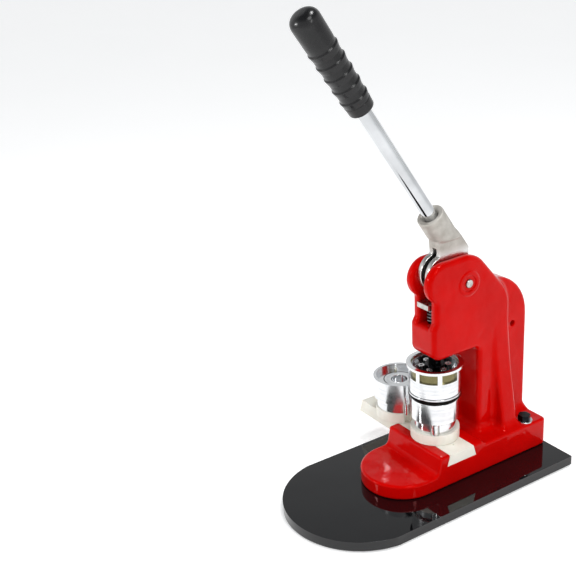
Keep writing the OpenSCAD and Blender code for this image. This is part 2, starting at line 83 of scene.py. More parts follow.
def add(tree, kind, values, output=0):
    """Adds one shader node. A value is a number, a hex colour or another node's output."""
    made = tree.nodes.new("ShaderNode" + kind)
    for key, value in values.items():
        if isinstance(value, bpy.types.NodeSocket):
            tree.links.new(value, made.inputs[key])
        elif isinstance(key, str) and hasattr(made, key):
            setattr(made, key, value)
        elif isinstance(value, str):
            made.inputs[key].default_value = linear(value)
        else:
            made.inputs[key].default_value = value
    return made.outputs[output]


def spots(size_mm):
    """The scale at which a pattern's spots are about size_mm across."""
    return 1 / (size_mm * MM)


def finish(name, settings):
    """A new material. Returns it with its tree, its shader and the piece's own coordinates."""
    material = bpy.data.materials.new(name)
    material.use_nodes = True
    tree = material.node_tree
    shader = tree.nodes["Principled BSDF"]
    for key, value in settings.items():
        shader.inputs[key].default_value = value
    place = add(tree, "TexCoord", {}, "Object")
    return material, tree, shader, place


print("spots 2 mm across need the scale", spots(2))

# %% [markdown]
# ## Red enamel on cast iron
# The frame is cast in one piece, ground a little and sprayed with thick gloss enamel. Thick
# paint pools into a faint orange peel with spots of about 3 mm, and over it the casting
# itself is never flat: its skin rolls by a few tenths of a millimetre every few centimetres.
# Both are too small to model, but they make each reflection waver, so they are drawn as bumps.
# Deep red pigment right up to the skin tints what the gloss mirrors, and a thin clear layer
# over it gives the white glints on round edges.

# %% Enamel
enamel, tree, shader, place = finish("Gloss red enamel on cast iron", {
    "Roughness": 0.12, "Specular IOR Level": 0.25, "Specular Tint": linear("#ff2010"),
    "Coat Weight": 0.06, "Coat Roughness": 0.05})
peel = add(tree, "TexNoise", {"Vector": place, "Scale": spots(3.2), "Detail": 1})
roll = add(tree, "TexNoise", {"Vector": place, "Scale": spots(26), "Detail": 2})
rolling = add(tree, "Bump", {"Height": roll, "Distance": 0.0012})
normal = add(tree, "Bump", {"Height": peel, "Distance": 0.00005, "Normal": rolling})
tree.links.new(normal, shader.inputs["Normal"])
tree.links.new(normal, shader.inputs["Coat Normal"])
cloud = add(tree, "TexNoise", {"Vector": place, "Scale": spots(40), "Detail": 3})
amount = add(tree, "MapRange", {"Value": cloud, "From Min": 0.35, "From Max": 0.65})
colour = add(tree, "Mix", {"data_type": "RGBA", 0: amount, 6: "#b80301", 7: "#c40402"}, 2)
tree.links.new(colour, shader.inputs["Base Color"])
print("made", enamel.name)

# %% [markdown]
# ## Gloss black board
# The board is high-gloss black acrylic sheet: almost a mirror at a low angle, with the very
# slight wave of extruded sheet, a little dust and a few wiped smears. Under it lies a mat of
# black rubber sheet with ribs 3 mm apart, which keeps the press from sliding.

# %% Board
board_gloss, tree, shader, place = finish("Gloss black acrylic sheet", {"IOR": 1.49})
wave = add(tree, "TexNoise", {"Vector": place, "Scale": spots(55), "Detail": 1})
normal = add(tree, "Bump", {"Height": wave, "Distance": 0.0002})
tree.links.new(normal, shader.inputs["Normal"])
dust = add(tree, "TexNoise", {"Vector": place, "Scale": spots(0.9), "Detail": 2})
amount = add(tree, "MapRange", {"Value": dust, "From Min": 0.62, "From Max": 0.8})
colour = add(tree, "Mix", {"data_type": "RGBA", 0: amount, 6: "#08080a", 7: "#1d1d1f"}, 2)
tree.links.new(colour, shader.inputs["Base Color"])
smear = add(tree, "TexNoise", {"Vector": place, "Scale": spots(38), "Detail": 3})
wiped = add(tree, "MapRange", {
    "Value": smear, "From Min": 0.4, "From Max": 0.7, "To Min": 0.02, "To Max": 0.07})
tree.links.new(wiped, shader.inputs["Roughness"])

mat_rubber, tree, shader, place = finish("Ribbed sheet rubber", {"Roughness": 0.8, "IOR": 1.52})
# at scale 1 the wave node draws 3.2 bands in a unit
ribs = add(tree, "TexWave", {"Vector": place, "Scale": spots(3) / 3.2, "bands_direction": "Y"}, "Fac")
normal = add(tree, "Bump", {"Height": ribs, "Distance": 0.0003})
tree.links.new(normal, shader.inputs["Normal"])
cloud = add(tree, "TexNoise", {"Vector": place, "Scale": spots(8), "Detail": 2})
colour = add(tree, "Mix", {"data_type": "RGBA", 0: cloud, 6: "#141414", 7: "#1f1f1f"}, 2)
tree.links.new(colour, shader.inputs["Base Color"])
print("made", board_gloss.name, "and", mat_rubber.name)

# %% [markdown]
# ## Turned metal
# Dies are turned on a lathe. The tool leaves a fine spiral of about 0.2 mm pitch; that is too
# fine to show here, so it is drawn about 1 mm wide and very shallow. On a side wall the lines
# run round at constant height, and on an end face they are rings about the axis. The spiral
# stretches each highlight across the lines, which is what makes turned metal look turned.
# Black oil and metal dust stay in the joint between a core and its sleeve, and its dark ring is
# also painted shade of the gap. The flange has painted shade and a painted dark reflection: it is
# dark inside a radius of 29.2 mm and over its lowest 2.8 mm. The liner is tarnished outside but
# bright inside. So each finish has a ring between two radii with its own colour, and may be dark
# below a height.
# One function serves every turned piece: its colours, how rough, how deep, its axis, its ring.

# %% Turned metal
def turned_metal(name, light, dark, roughness, depth_mm, axis, ring, ring_colour, dark_below_mm=0):
    """axis is where the lathe's axis stands. The metal has ring_colour between ring's two radii (mm)."""
    material, tree, shader, place = finish(name, {"Metallic": 1})
    across = add(tree, "VectorMath", {"operation": "SUBTRACT", 0: place, 1: axis})
    flat = add(tree, "VectorMath", {"operation": "MULTIPLY", 0: across, 1: (1, 1, 0)})
    radius = add(tree, "VectorMath", {"operation": "LENGTH", 0: flat}, "Value")
    up = add(tree, "SeparateXYZ", {"Vector": across}, "Z")
    # radius plus height changes across a wall and across a face alike, so one value serves both
    both = add(tree, "Math", {"operation": "ADD", 0: radius, 1: up})
    spiral = add(tree, "TexNoise", {"noise_dimensions": "1D", "W": both, "Scale": spots(1.1), "Detail": 3})
    normal = add(tree, "Bump", {"Height": spiral, "Distance": depth_mm * MM})
    tree.links.new(normal, shader.inputs["Normal"])
    bands = add(tree, "TexNoise", {"noise_dimensions": "1D", "W": both, "Scale": spots(4), "Detail": 2})
    handling = add(tree, "TexNoise", {"Vector": place, "Scale": spots(9), "Detail": 3})
    worn = add(tree, "Math", {"operation": "MULTIPLY", 0: bands, 1: handling})
    amount = add(tree, "MapRange", {"Value": worn, "From Min": 0.15, "From Max": 0.4})
    clean = add(tree, "Mix", {"data_type": "RGBA", 0: amount, 6: light, 7: dark}, 2)
    # 1 between the ring's two radii or below the given height, 0 elsewhere, with edges 0.1 mm wide
    inner, outer = ring
    outside = add(tree, "MapRange", {
        "Value": radius, "From Min": inner * MM, "From Max": (inner + 0.1) * MM})
    in_ring = add(tree, "MapRange", {
        "Value": radius, "From Min": (outer - 0.1) * MM, "From Max": outer * MM,
        "To Min": outside, "To Max": 0})
    # the ring colour is oil with painted shade in the dies' joint, painted shade and a painted dark
    # reflection on the flange, and tarnish on the liner
    oil_tarnish_and_shade = add(tree, "MapRange", {
        "Value": up, "From Min": (dark_below_mm - 0.1) * MM, "From Max": dark_below_mm * MM,
        "To Min": 1, "To Max": in_ring})
    colour = add(tree, "Mix", {"data_type": "RGBA", 0: oil_tarnish_and_shade, 6: clean, 7: ring_colour}, 2)
    tree.links.new(colour, shader.inputs["Base Color"])
    uneven = add(tree, "MapRange", {
        "Value": handling, "From Min": 0.3, "From Max": 0.7,
        "To Min": roughness * 0.8, "To Max": roughness * 1.3})
    tree.links.new(uneven, shader.inputs["Roughness"])
    return material


def axis_of(node):
    """Where the upright axis of a round CAD piece meets the bench, in metres."""
    low_corner, high_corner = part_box(node)
    return [(low_corner[k] + high_corner[k]) / 2 for k in range(2)] + [0]


die_axis = axis_of("ram_shaft")
parked_axis = axis_of("die_a_core")
joint = (17.1, 18.3)
# oil in the joint between core and sleeve, with painted shade of the gap
joint_oil_and_shade = "#1b1a18"
die_metal = turned_metal(
    "Turned aluminium, working dies", "#e6e7e8", "#d4d6d8", 0.15, 0.005, die_axis, joint, joint_oil_and_shade)
parked_metal = turned_metal(
    "Turned aluminium, parked die", "#e6e7e8", "#d4d6d8", 0.15, 0.005, parked_axis, joint, joint_oil_and_shade)
# painted shade and a painted dark reflection on the flange, inside a radius of 29.2 mm and over its lowest
# 2.8 mm
flange_shade_ring = (0, 29.2)
flange_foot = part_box("upper_die_flange")[0][2] / MM
flange_metal = turned_metal(
    "Polished steel flange", "#dcdddf", "#c4c5c8", 0.09, 0.003, die_axis, flange_shade_ring, "#161514",
    flange_foot + 2.8)
liner_outside = (25.5, 40)
brass = turned_metal(
    "Dull brass liner", "#c9cacb", "#b2b4b6", 0.24, 0.005, die_axis, liner_outside, "#77714f")
print("the working dies turn about", die_axis, "and the parked die about", parked_axis)

# %% [markdown]
# ## Plain metals
# The rod is chrome plate on polished steel, almost without marks. Screws, washers and nuts are
# bright zinc, which has a soft milky bloom. The shoe, the pins and the spacer are bright ground
# steel. The holder, the ram and the rear bolts are black oxide: dark and oily. Spring wire is
# drawn and grey.

# %% Plain metals
def plain_metal(name, light, dark, roughness, patch_mm, depth_mm):
    """A metal with two shades in patches about patch_mm across, over a fine shallow grain."""
    material, tree, shader, place = finish(name, {"Metallic": 1})
    patches = add(tree, "TexNoise", {"Vector": place, "Scale": spots(patch_mm), "Detail": 3})
    amount = add(tree, "MapRange", {"Value": patches, "From Min": 0.35, "From Max": 0.65})
    colour = add(tree, "Mix", {"data_type": "RGBA", 0: amount, 6: light, 7: dark}, 2)
    tree.links.new(colour, shader.inputs["Base Color"])
    uneven = add(tree, "MapRange", {
        "Value": patches, "From Min": 0.3, "From Max": 0.7,
        "To Min": roughness * 0.8, "To Max": roughness * 1.25})
    tree.links.new(uneven, shader.inputs["Roughness"])
    fine = add(tree, "TexNoise", {"Vector": place, "Scale": spots(0.8), "Detail": 2})
    normal = add(tree, "Bump", {"Height": fine, "Distance": depth_mm * MM})
    tree.links.new(normal, shader.inputs["Normal"])
    return material


chrome = plain_metal("Chrome plate on polished steel", "#d2d4d6", "#c2c4c6", 0.06, 30, 0.001)
zinc = plain_metal("Bright zinc plate", "#dcdddd", "#c2c4c4", 0.22, 5, 0.006)
bright_steel = plain_metal("Bright ground steel", "#c4c2be", "#a9a7a2", 0.28, 4, 0.006)
black_oxide = plain_metal("Black oxide on steel", "#232427", "#17181a", 0.3, 6, 0.006)
spring_wire = plain_metal("Drawn spring steel", "#a8aaad", "#8b8d90", 0.25, 3, 0.004)
print("made", chrome.name, "and four more plain metals")

# %% [markdown]
# ## Cast alloy
# The lever's casting is bare grey aluminium alloy, shot blasted: a dull sheen with a grain of
# about half a millimetre, drawn a little coarser, and darker stains where the mould's skin
# shows. Where the cam rubs on the shoe and the fork on the head, it is worn bright.

# %% Cast alloy
cast_alloy, tree, shader, place = finish("Shot-blasted cast alloy", {})
grain = add(tree, "TexNoise", {"Vector": place, "Scale": spots(0.9), "Detail": 3})
lumps = add(tree, "TexNoise", {"Vector": place, "Scale": spots(11), "Detail": 3})
lumpy = add(tree, "Bump", {"Height": lumps, "Distance": 0.0003})
normal = add(tree, "Bump", {"Height": grain, "Distance": 0.00012, "Normal": lumpy})
tree.links.new(normal, shader.inputs["Normal"])
stain = add(tree, "MapRange", {"Value": lumps, "From Min": 0.35, "From Max": 0.7})
skin = add(tree, "Mix", {"data_type": "RGBA", 0: stain, 6: "#bdb9b2", 7: "#a39e96"}, 2)
# below 268 mm from the bench the casting is rubbed bright, above 276 mm it is as it was cast
height = add(tree, "SeparateXYZ", {"Vector": place}, "Z")
rubbed = add(tree, "MapRange", {
    "Value": height, "From Min": 268 * MM, "From Max": 276 * MM, "To Min": 1, "To Max": 0})
colour = add(tree, "Mix", {"data_type": "RGBA", 0: rubbed, 6: skin, 7: "#d3d2cf"}, 2)
tree.links.new(colour, shader.inputs["Base Color"])
rough = add(tree, "MapRange", {"Value": rubbed, "To Min": 0.52, "To Max": 0.24})
tree.links.new(rough, shader.inputs["Roughness"])
bare = add(tree, "MapRange", {"Value": rubbed, "To Min": 0.5, "To Max": 1})
tree.links.new(bare, shader.inputs["Metallic"])
print("made", cast_alloy.name)

# %% [markdown]
# ## Plastics
# The tray is off-white nylon, moulded and then milled: milky, slightly see-through at thin
# edges, with a satin skin. The grip is black vinyl dipped over a ribbed core, so it is
# smooth and glossy, with a faint pebble where it left the mould.

# %% Plastics
nylon, tree, shader, place = finish("Off-white moulded nylon", {"Roughness": 0.42, "IOR": 1.53})
shader.inputs["Subsurface Weight"].default_value = 0.08
shader.inputs["Subsurface Radius"].default_value = (0.004, 0.003, 0.002)
speck = add(tree, "TexNoise", {"Vector": place, "Scale": spots(1.2), "Detail": 2})
normal = add(tree, "Bump", {"Height": speck, "Distance": 0.00005})
tree.links.new(normal, shader.inputs["Normal"])
mottle = add(tree, "TexNoise", {"Vector": place, "Scale": spots(16), "Detail": 3})
amount = add(tree, "MapRange", {"Value": mottle, "From Min": 0.3, "From Max": 0.7})
colour = add(tree, "Mix", {"data_type": "RGBA", 0: amount, 6: "#ebe8de", 7: "#e0dccf"}, 2)
tree.links.new(colour, shader.inputs["Base Color"])

vinyl, tree, shader, place = finish("Black dipped vinyl", {"IOR": 1.53, "Specular IOR Level": 0.35})
pebble = add(tree, "TexNoise", {"Vector": place, "Scale": spots(1.4), "Detail": 2})
sag = add(tree, "TexNoise", {"Vector": place, "Scale": spots(14), "Detail": 2})
sagging = add(tree, "Bump", {"Height": sag, "Distance": 0.0005})
normal = add(tree, "Bump", {"Height": pebble, "Distance": 0.00004, "Normal": sagging})
tree.links.new(normal, shader.inputs["Normal"])
amount = add(tree, "MapRange", {"Value": sag, "From Min": 0.3, "From Max": 0.7})
colour = add(tree, "Mix", {"data_type": "RGBA", 0: amount, 6: "#0c0c0d", 7: "#161617"}, 2)
tree.links.new(colour, shader.inputs["Base Color"])
glossy = add(tree, "MapRange", {
    "Value": pebble, "From Min": 0.3, "From Max": 0.7, "To Min": 0.18, "To Max": 0.3})
tree.links.new(glossy, shader.inputs["Roughness"])
print("made", nylon.name, "and", vinyl.name)

# %% [markdown]
# ## Putting a piece in place
# Each new piece rides on the body of the CAD piece that it stands for and hides that piece,
# so that it moves with the joints.

# %% Which body each CAD piece belongs to
record = frame["record"]
body_of = {node: body for body, nodes in record["behaviour"]["bodies"].items() for node in nodes}


def new_object(name, data):
    """Puts a mesh, a lamp or a camera into the scene as an object with a name."""
    made = bpy.data.objects.new(name, data)
    bpy.context.scene.collection.objects.link(made)
    return made


def place_piece(piece, node, material):
    """Gives a new piece its finish and lets it stand for a CAD piece."""
    piece.data.materials.clear()
    piece.data.materials.append(material)
    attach(piece, body_of[node])
    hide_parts(node)
    return piece


# %% [markdown]
# ## Outlines with round corners
# Most outlines of a casting are straight runs with a radius at each corner. So an outline is
# given as its sharp corners, each with the radius that rounds it, and a small function swaps
# each corner for an arc that meets both runs smoothly. It works for hollow corners too.

# %% Round the corners of an outline
def rounded(corners, steps=12):
    """corners are (across, up, radius) in mm, in order. Returns the outline's points."""
    outline = []
    for k, (across, up, radius) in enumerate(corners):
        here = np.array([across, up], float)
        back = np.array(corners[k - 1][:2]) - here
        on = np.array(corners[(k + 1) % len(corners)][:2]) - here
        back, on = back / np.linalg.norm(back), on / np.linalg.norm(on)
        if radius == 0:
            outline.append(here)
            continue
        half = math.acos(np.clip(back @ on, -1, 1)) / 2
        middle = here + (back + on) / np.linalg.norm(back + on) * radius / math.sin(half)
        start, end = (here + side * radius / math.tan(half) - middle for side in (back, on))
        first = math.atan2(start[1], start[0])
        turn = (math.atan2(end[1], end[0]) - first + math.pi) % (2 * math.pi) - math.pi
        for share in np.linspace(0, 1, steps):
            angle = first + turn * share
            outline.append(middle + radius * np.array([math.cos(angle), math.sin(angle)]))
    return outline


square = rounded([(0, 0, 2), (9, 0, 2), (9, 9, 2), (0, 9, 2)])
print("a square with 2 mm corners has", len(square), "points")

# %% [markdown]
# ## Castings as distance fields
# A casting has fillets everywhere: where the column meets the foot, where the wings meet the
# pad, round the slot. Bevelling the edges of a boolean mesh fails at such corners. A distance
# field has no such trouble. It is a block of numbers that say how far each point is from the
# surface, negative inside. All sizes here are in millimetres.

# %% Sample points, and the distance to an outline
def block(low, high, step):
    """The x, y and z of a block of sample points, shaped so that they combine."""
    axes = [np.arange(a, b, step, dtype=np.float32) for a, b in zip(low, high)]
    return axes[0][:, None, None], axes[1][None, :, None], axes[2][None, None, :]


def to_outline(outline, across, up):
    """Distance to a closed outline in two of the directions, negative inside."""
    shape = np.broadcast(across, up).shape
    nearest = np.full(shape, 1e9, np.float32)
    inside = np.zeros(shape, bool)
    for (u0, v0), (u1, v1) in zip(outline, outline[1:] + outline[:1]):
        du, dv = u1 - u0, v1 - v0
        length = du * du + dv * dv
        if length == 0:
            continue
        share = np.clip(((across - u0) * du + (up - v0) * dv) / length, 0, 1)
        nearest = np.minimum(nearest, (across - u0 - share * du) ** 2 + (up - v0 - share * dv) ** 2)
        if dv:
            inside ^= ((v0 > up) != (v1 > up)) & (across < du * (up - v0) / dv + u0)
    return (np.where(inside, -1, 1) * np.sqrt(nearest)).astype(np.float32)


square = rounded([(0, 0, 0), (20, 0, 0), (20, 20, 0), (0, 20, 0)])
print("5 mm inside a square the field says", to_outline(square, np.array([5.0]), np.array([10.0]))[0])

# %% [markdown]
# ## Join and cut with round edges
# What two fields share has an outer edge, and one formula rounds it. A join with a fillet is the
# same formula with both fields turned inside out, and a cut turns only the second one.

# %% Join and cut
def within(a, b, radius):
    """What is in both fields. The outer edge between them is rounded to radius."""
    over = np.hypot(np.maximum(a + radius, 0), np.maximum(b + radius, 0))
    return np.minimum(-radius, np.maximum(a, b)) + over


def joined(a, b, fillet):
    """What is in either field, with a fillet where they meet."""
    return -within(-a, -b, fillet)


def cut(a, b, radius):
    """Field a with field b taken out. The edge of the cut is rounded to radius."""
    return within(a, -b, radius)


def rod_field(across, up, at, radius):
    """A round bar along the third direction, through the point at."""
    return np.hypot(across - at[0], up - at[1]).astype(np.float32) - radius


print("3 mm from the axis, a bar of radius 4 mm reads", rod_field(np.array([3.0]), 0, (0, 0), 4)[0])

# %% [markdown]
# ## From a field to a mesh
# The surface is where the field is 0. The points that the mesh maker finds lie slightly off it,
# so each is moved back along the field's slope. The shading follows that slope too, which is
# smoother than the faces are.

# %% Turn a field into a mesh
def sampled(field, spots):
    """The field's value between its sample points, by straight-line blending."""
    base = np.clip(np.floor(spots).astype(int), 0, np.array(field.shape) - 2)
    part = spots - base
    total = 0
    for corner in np.ndindex(2, 2, 2):
        weight = np.prod(np.where(corner, part, 1 - part), axis=1)
        total = total + weight * field[tuple((base + corner).T)]
    return total


def casting(name, field, low, step):
    """The surface of a field as a mesh, with its normals read from the field itself."""
    band = 3 * step
    volume = openvdb.FloatGrid(background=band)
    volume.copyFromArray(np.clip(field, -band, band))
    spots, quads = volume.convertToQuads(isovalue=0)[:2]
    slopes = np.gradient(field, step)
    # each point is moved by 0.7 of the way back to the surface, twice
    pull = 0.7
    for _ in range(2):
        normals = np.stack([sampled(s, spots) for s in slopes], axis=1)
        normals /= np.linalg.norm(normals, axis=1, keepdims=True)
        spots = spots - sampled(field, spots)[:, None] / step * normals * pull
    mesh = bpy.data.meshes.new(name)
    mesh.from_pydata(((spots * step + low) * MM).tolist(), [], quads.tolist())
    mesh.update()
    mesh.shade_smooth()
    mesh.normals_split_custom_set_from_vertices(normals.tolist())
    print(name, "has", len(quads), "faces")
    return new_object(name, mesh)


corner_values = np.arange(8.0).reshape(2, 2, 2)
print("half way between 0 and 7 a field reads", sampled(corner_values, np.array([[0.5, 0.5, 0.5]]))[0])

# %% [markdown]
# ## The frame's outlines
# Seen from the side, the head has a round brow over the slot, a round crown over the pivot and
# a long shoulder down to the rear wall. Under the brow the front steps in and out again to a
# soft nose. The foot has a low toe in front, a rail on each side of the tray and a higher deck
# behind. Lengths are measured from the middle of the board and from the bench.

# %% Outlines of the frame
head_outline = rounded([
    (6, 264, 23.5), (74.5, 264.6, 31), (123, 207.5, 41.5), (123, 40, 0), (78, 40, 0),
    (78, 153, 7), (12.5, 153, 12), (12.5, 190.5, 7), (16.5, 197, 5), (16.5, 221.3, 7), (6, 231.8, 23.5)])
web_outline = rounded([(99, 40, 0), (158, 40, 0), (158, 225, 55), (99, 225, 0)])
foot_side = rounded([
    (-90, 13, 0), (190, 13, 0), (190, 47, 0), (66, 47, 3), (60.2, 51.5, 1.5), (0.8, 51.5, 2.5),
    (-3.2, 30, 6), (-90, 30, 0)])
foot_plan = rounded([(-46, -64, 45.9), (46, -64, 45.9), (46, 159.5, 5), (-46, 159.5, 5)], 40)
tray_channel = rounded([(9.78, 38.38, 0), (51.22, 38.38, 0), (47.32, 51.5, 0), (47.32, 70, 0),
                        (13.68, 70, 0), (13.68, 51.5, 0)])
print("the head's outline has", len(head_outline), "points")

# %% The frame's solid shape
low, step = (-50, -68, 10.6), 0.8
x, y, z = block(low, (51, 164, 269), step)
side = np.abs(x)

head_half, web_half = 20, 11
head = within(to_outline(head_outline, y, z), side - head_half, 5)
web = within(to_outline(web_outline, y, z), side - web_half, 4)
# a wing is 38 wide on each side at height 43, and has shrunk to the head's width at height 143
wing_half, wing_foot, wing_end, wing_top = 38, 43, 143, 176
wing_y, wing_thick = 112.2, 21.6
taper = math.atan2(wing_half - head_half, wing_end - wing_foot)
wing_side = (side - wing_half) * math.cos(taper) + (z - wing_foot) * math.sin(taper)
wing_bottom = 38
wing_depth = np.maximum(np.abs(y - wing_y) - wing_thick / 2, wing_bottom - z)
wings = within(within(wing_side, wing_depth, 3), z - wing_top, 4)
column = joined(joined(head, wings, 6), web, 7)
foot = within(to_outline(foot_plan, x, y), to_outline(foot_side, y, z), 2.6)
body = joined(foot, column, 10)
print("the block holds", body.size, "samples")

# %% [markdown]
# ## What is cut out of it
# The tray's channel and the bores are machined, so their edges stay crisp. The slot for the
# lever is cast, so its edges are as round as the rest. Round the pivot there is a low boss with
# a dished middle.

# %% Cuts and the boss
pivot, pivot_radius = (62, 233.5), 4.55
boss = within(rod_field(y, z, pivot, 14), side - 20.95, 0.6)
body = joined(body, boss, 0.6)
dish = np.maximum(rod_field(y, z, pivot, 9), 19.6 - side)
body = cut(body, dish, 0.5)
slot_half, slot_floor, slot_rear = 9.2, 191, 80
slot = np.maximum(np.maximum(side - slot_half, slot_floor - z), y - slot_rear)
body = cut(body, slot, 3.6)
# a cut that runs right through has one direction less: adding 0 * x gives it the full block
body = cut(body, to_outline(tray_channel, y, z) + 0 * x, 0.7)
body = cut(body, rod_field(y, z, pivot, pivot_radius) + 0 * x, 0.4)
web_hole, web_hole_radius = (136, 162), 3.4
body = cut(body, rod_field(y, z, web_hole, web_hole_radius) + 0 * x, 0.8)
ram_at, stop_at, bolt_at = (0, 30.5), (0, 41.5), (35, 135)
ram_bore = np.maximum(rod_field(x, y, ram_at, 7.05), 140 - z)
stop_bore = np.maximum(rod_field(x, y, stop_at, 3.05), 30 - z)
bolt_bores = rod_field(side, y, bolt_at, 4.3) + 0 * z
for bore in (ram_bore, stop_bore, bolt_bores):
    body = cut(body, bore, 0.4)
frame_piece = casting("frame_casting_cast", body.astype(np.float32), low, step)
place_piece(frame_piece, "frame_casting", enamel)

# %% [markdown]
# ## The lever's casting
# This is a second casting: a round socket for the rod, a solid shank that slopes down from it,
# and two thin plates that reach into the head and carry the cam. Below the shank the two plates
# are 6 mm apart. The same fields build it, at a finer step because it is smaller.

# %% Where the rod points, and how far each sample is along it and off it
tilt = math.radians(33.6)
rod_offset = 13.6
rod_foot = (pivot[0] + rod_offset * math.cos(tilt), pivot[1] + rod_offset * math.sin(tilt))
low, step = (-17, -20, 212), 0.6
x, y, z = block(low, (17.5, 96, 328), step)
side = np.abs(x)
along = -(y - rod_foot[0]) * math.sin(tilt) + (z - rod_foot[1]) * math.cos(tilt)
off = (y - rod_foot[0]) * math.cos(tilt) + (z - rod_foot[1]) * math.sin(tilt)
from_axis = np.hypot(x, off)
print("the rod's axis starts at y, z =", [round(v, 2) for v in rod_foot])

# %% The cam, the plates and the socket
# the cam's middle goes from 20 degrees above the pivot's height to 20 below, and sinks by 12 mm
cam_drop, cam_turn = 12, math.radians(20)
cam_arm = cam_drop / (2 * math.sin(cam_turn))
cam = (pivot[0] - cam_arm * math.cos(cam_turn), pivot[1] + cam_arm * math.sin(cam_turn))
shoe_top = 217.15
cam_radius = cam[1] - shoe_top
shank = rounded([
    (31, 268, 3), (29.5, 285, 4), (36, 294, 6), (54, 293, 3), (62.2, 284, 0), (71.2, 271, 3),
    (71.2, 244, 3), (62, 236, 0), (45, 240, 0)])
lobes = np.minimum(rod_field(y, z, pivot, 14), rod_field(y, z, cam, cam_radius))
lobes = joined(lobes, rod_field(y, z, (35, 247.5), 20.8), 4)
plate_outside, plate_inside = 8.8, 3
plates = within(joined(lobes, to_outline(shank, y, z), 3), side - plate_outside, 1)
socket_radius, socket_low, socket_high = 15.1, 20, 88
socket_ends = np.maximum(along - socket_high, socket_low - along)
socket = within(from_axis - socket_radius, socket_ends, 1.6)
socket = within(socket, 285 - z, 2.5)
lever = joined(plates, socket, 3)
print("the cam's radius is", round(cam_radius, 2), "mm")

# %% The gap between the plates, and the bores
high_part = np.maximum(z - 275.5, y - 66)
rear_part = np.maximum(y - 78, z - 243.5)
gap = np.maximum(side - plate_inside, np.minimum(high_part, rear_part))
lever = cut(lever, gap, 0.8)
lever = cut(lever, rod_field(y, z, pivot, pivot_radius) + 0 * x, 0.4)
rod_bore, rod_seat = 7.55, 54
lever = cut(lever, np.maximum(from_axis - rod_bore, rod_seat - along), 0.3)
# the bore's mouth opens at 45 degrees over its last 3 mm, so 0.707 makes a true distance of it
mouth = (from_axis - 7.5 - np.maximum(along - 85, 0)) * 0.707
lever = cut(lever, np.maximum(mouth, 80 - along), 0.6)
lever_piece = casting("lever_casting_cast", lever.astype(np.float32), low, step)
place_piece(lever_piece, "lever_casting", cast_alloy)

# %% [markdown]
# ## Turned and moulded round pieces
# The grip is one outline turned about the rod's axis. Its rings are saw-toothed: each is
# widest at its upper edge and tapers down to the next, with a round valley.

# %% Turn an outline about the rod
def turned(name, outline, steps, place):
    """Spins an outline of (radius, height) in mm about +Z, then sets it in place."""
    work = bmesh.new()
    rings = []
    for k in range(steps):
        angle = 2 * math.pi * k / steps
        rings.append([work.verts.new((r * MM * math.cos(angle), r * MM * math.sin(angle), h * MM))
                      for r, h in outline])
    for k in range(steps):
        for m in range(len(outline)):
            corner = [rings[k][m], rings[(k + 1) % steps][m]]
            n = (m + 1) % len(outline)
            corner += [rings[(k + 1) % steps][n], rings[k][n]]
            work.faces.new(corner)
    bmesh.ops.remove_doubles(work, verts=work.verts, dist=1e-6)
    bmesh.ops.dissolve_degenerate(work, dist=1e-7, edges=work.edges)
    bmesh.ops.recalc_face_normals(work, faces=work.faces)
    mesh = bpy.data.meshes.new(name)
    work.to_mesh(mesh)
    work.free()
    mesh.transform(place)
    mesh.shade_smooth()
    print(name, "has", len(mesh.polygons), "faces")
    return new_object(name, mesh)

# %% The grip
rod_place = Matrix.Translation(Vector((0, *rod_foot)) * MM) @ Matrix.Rotation(tilt, 4, "X")
grip_low, grip_high = 238, 356
hollow, rod_end = 7.6, grip_high - 12
corners = [(hollow, grip_low, 0.4), (13.2, grip_low, 2.5), (13.7, grip_low + 11, 2)]
for k in range(5):
    share = 0.13 + 0.125 * k
    valley = grip_low + (grip_high - grip_low) * share
    wide = 13.6 + 1.8 * share
    corners.append((wide - 0.4, valley - 4, 1.5))
    corners.append((wide + 1.0, valley + 3, 0.8))
    corners.append((wide - 0.3, valley + 4.6, 1.2))
corners += [(14.9, grip_high - 34, 4), (15.4, grip_high, 10), (0, grip_high, 0)]
corners += [(0, rod_end, 0), (hollow, rod_end, 0)]
grip = turned("lever_grip_moulded", rounded(corners, 8), 96, rod_place)
place_piece(grip, "lever_grip", vinyl)

# %% [markdown]
# ## Machined pieces: break the sharp edges
# A machined edge is never sharp: it is broken with a file or a chamfer of a few tenths of a
# millimetre, and that thin band is what catches the light. The CAD mesh has the exact shape, so
# a copy is welded, its flat triangles are merged, and only its sharp edges are bevelled.

# %% Break the edges of a CAD piece
def softened(node, width_mm, material):
    """A copy of a CAD piece whose sharp edges are broken to width_mm."""
    work = bmesh.new()
    work.from_mesh(frame["nodes"][node].data)
    bmesh.ops.remove_doubles(work, verts=work.verts, dist=2e-6)
    bmesh.ops.dissolve_limit(work, angle_limit=math.radians(0.4), verts=work.verts, edges=work.edges)
    sharp = math.radians(35)
    edges = [e for e in work.edges if len(e.link_faces) == 2 and e.calc_face_angle() > sharp]
    bmesh.ops.bevel(work, geom=edges, offset=width_mm * MM, segments=3, profile=0.5, affect="EDGES",
                    clamp_overlap=True)
    mesh = bpy.data.meshes.new(node + "_machined")
    work.to_mesh(mesh)
    work.free()
    mesh.shade_smooth()
    piece = new_object(mesh.name, mesh)
    even = piece.modifiers.new("Even shading", "WEIGHTED_NORMAL")
    even.keep_sharp = True
    evaluated = piece.evaluated_get(bpy.context.evaluated_depsgraph_get())
    piece.data = bpy.data.meshes.new_from_object(evaluated)
    piece.modifiers.clear()
    return place_piece(piece, node, material)

